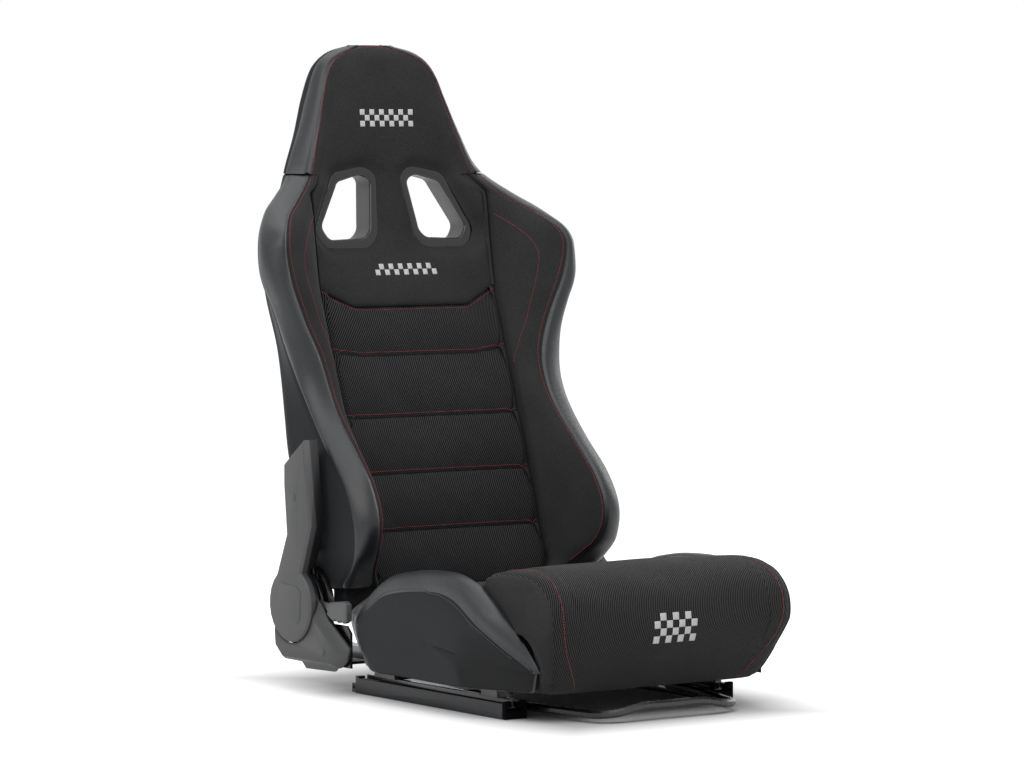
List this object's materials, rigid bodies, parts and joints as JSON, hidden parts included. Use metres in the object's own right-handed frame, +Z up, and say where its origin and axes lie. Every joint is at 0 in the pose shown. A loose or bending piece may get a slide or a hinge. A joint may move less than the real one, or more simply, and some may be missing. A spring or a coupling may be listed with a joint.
{
  "type": "racing seat",
  "caption": "Reclining bucket seat with winged backrest, built-in headrest, harness openings, deep cushion and sliding floor rails.",
  "frame": {"origin": "on the floor under the middle of the seat's overall box", "axes": "+Z up, +Y towards the rear of the seat, so the occupant faces -Y; +X to the occupant's left; the lever is on the -X side"},
  "size_m": [0.5456, 0.7728, 0.93],
  "materials": {
    "mesh_cloth": "ribbed black mesh cloth",
    "suede_cloth": "black suede-like cloth with a short nap",
    "leatherette": "black grained leatherette with dark crimson stitching",
    "smooth_vinyl": "smooth dark grey vinyl",
    "webbing": "woven black webbing",
    "moulded_plastic": "satin dark grey moulding",
    "lever_plastic": "satin light grey moulding",
    "gloss_plastic": "glossy black",
    "black_steel": "glossy black enamel",
    "rail_steel": "dark phosphated pressed steel",
    "zinc_steel": "bright zinc plate",
    "spring_steel": "oiled spring steel",
    "rubber": "moulded black rubber"
  },
  "bodies": {
    "base": {"lower_rail_right": "rail_steel", "lower_rail_left": "rail_steel", "rail_front_cap_right": "rubber", "rail_front_cap_left": "rubber"},
    "rollers": {"roller_cage_right": "zinc_steel", "roller_cage_left": "zinc_steel"},
    "seat": {"upper_rail_right": "rail_steel", "upper_rail_left": "rail_steel", "latch_bracket_right": "rail_steel", "latch_bracket_left": "rail_steel", "latch_spring_right": "spring_steel", "latch_spring_left": "spring_steel", "seat_side_member_right": "black_steel", "seat_side_member_left": "black_steel", "seat_front_tube": "black_steel", "seat_rear_tube": "black_steel", "seat_mat": "webbing", "cushion_centre": "mesh_cloth", "cushion_bolster_right": "leatherette", "cushion_bolster_left": "leatherette", "recliner_base_right": "zinc_steel", "recliner_base_left": "zinc_steel", "return_spring_right": "spring_steel", "return_spring_left": "spring_steel", "lower_hinge_cover_right": "moulded_plastic", "lower_hinge_cover_left": "moulded_plastic"},
    "handle": {"slide_handle": "black_steel", "latch_plate_right": "zinc_steel", "latch_plate_left": "zinc_steel"},
    "backrest": {"back_centre_pad": "mesh_cloth", "headrest_pad": "suede_cloth", "back_wing_right": "leatherette", "back_wing_left": "leatherette", "back_rear_panel": "smooth_vinyl", "harness_bezel_right": "gloss_plastic", "harness_bezel_left": "gloss_plastic", "harness_sleeve_right": "moulded_plastic", "harness_sleeve_left": "moulded_plastic", "back_side_plate_right": "black_steel", "back_side_plate_left": "black_steel", "back_side_tube_right": "black_steel", "back_side_tube_left": "black_steel", "back_top_tube": "black_steel", "back_lower_tube": "black_steel", "back_upper_tube": "black_steel", "back_mat": "webbing", "recliner_arm_right": "zinc_steel", "recliner_arm_left": "zinc_steel", "arm_bolt_lower_right": "zinc_steel", "arm_bolt_lower_left": "zinc_steel", "arm_bolt_upper_right": "zinc_steel", "arm_bolt_upper_left": "zinc_steel", "upper_hinge_cover_right": "moulded_plastic", "upper_hinge_cover_left": "moulded_plastic"},
    "lever": {"cross_shaft": "zinc_steel", "release_cam_left": "zinc_steel", "recline_lever": "zinc_steel", "lever_grip": "lever_plastic"},
    "pawl_right": {"recliner_pawl_right": "zinc_steel"},
    "pawl_left": {"recliner_pawl_left": "zinc_steel"}
  },
  "joints": [
    {"name": "seat_slide", "type": "slide", "parent": "base", "child": "seat", "axis": [0, 1, 0], "range_m": [-0.08, 0.08]},
    {"name": "rollers_slide", "type": "slide", "parent": "base", "child": "rollers", "axis": [0, 1, 0], "range_m": [-0.04, 0.04]},
    {"name": "handle_lift", "type": "hinge", "parent": "seat", "child": "handle", "pos_m": [0, -0.1593, 0.015], "axis": [-1, 0, 0], "range_deg": [0, 6], "stiffness_Nm_per_rad": 1.5, "springref_deg": -5.73},
    {"name": "recline", "type": "hinge", "parent": "seat", "child": "backrest", "pos_m": [0, 0.1707, 0.126], "axis": [1, 0, 0], "range_deg": [-60, 25]},
    {"name": "recline_lever", "type": "hinge", "parent": "seat", "child": "lever", "pos_m": [0, 0.1707, 0.126], "axis": [-1, 0, 0], "range_deg": [0, 25], "stiffness_Nm_per_rad": 0.8, "springref_deg": -11.46},
    {"name": "pawl_right_turn", "type": "hinge", "parent": "seat", "child": "pawl_right", "pos_m": [-0.241, 0.1127, 0.078], "axis": [1, 0, 0], "range_deg": [0, 8.1]},
    {"name": "pawl_left_turn", "type": "hinge", "parent": "seat", "child": "pawl_left", "pos_m": [0.241, 0.1127, 0.078], "axis": [1, 0, 0], "range_deg": [0, 8.1]}
  ],
  "couplings": [
    {"joint": "rollers_slide", "follows": "seat_slide", "ratio": 0.5},
    {"joint": "pawl_right_turn", "follows": "recline_lever", "ratio": 0.32},
    {"joint": "pawl_left_turn", "follows": "recline_lever", "ratio": 0.32}
  ]
}
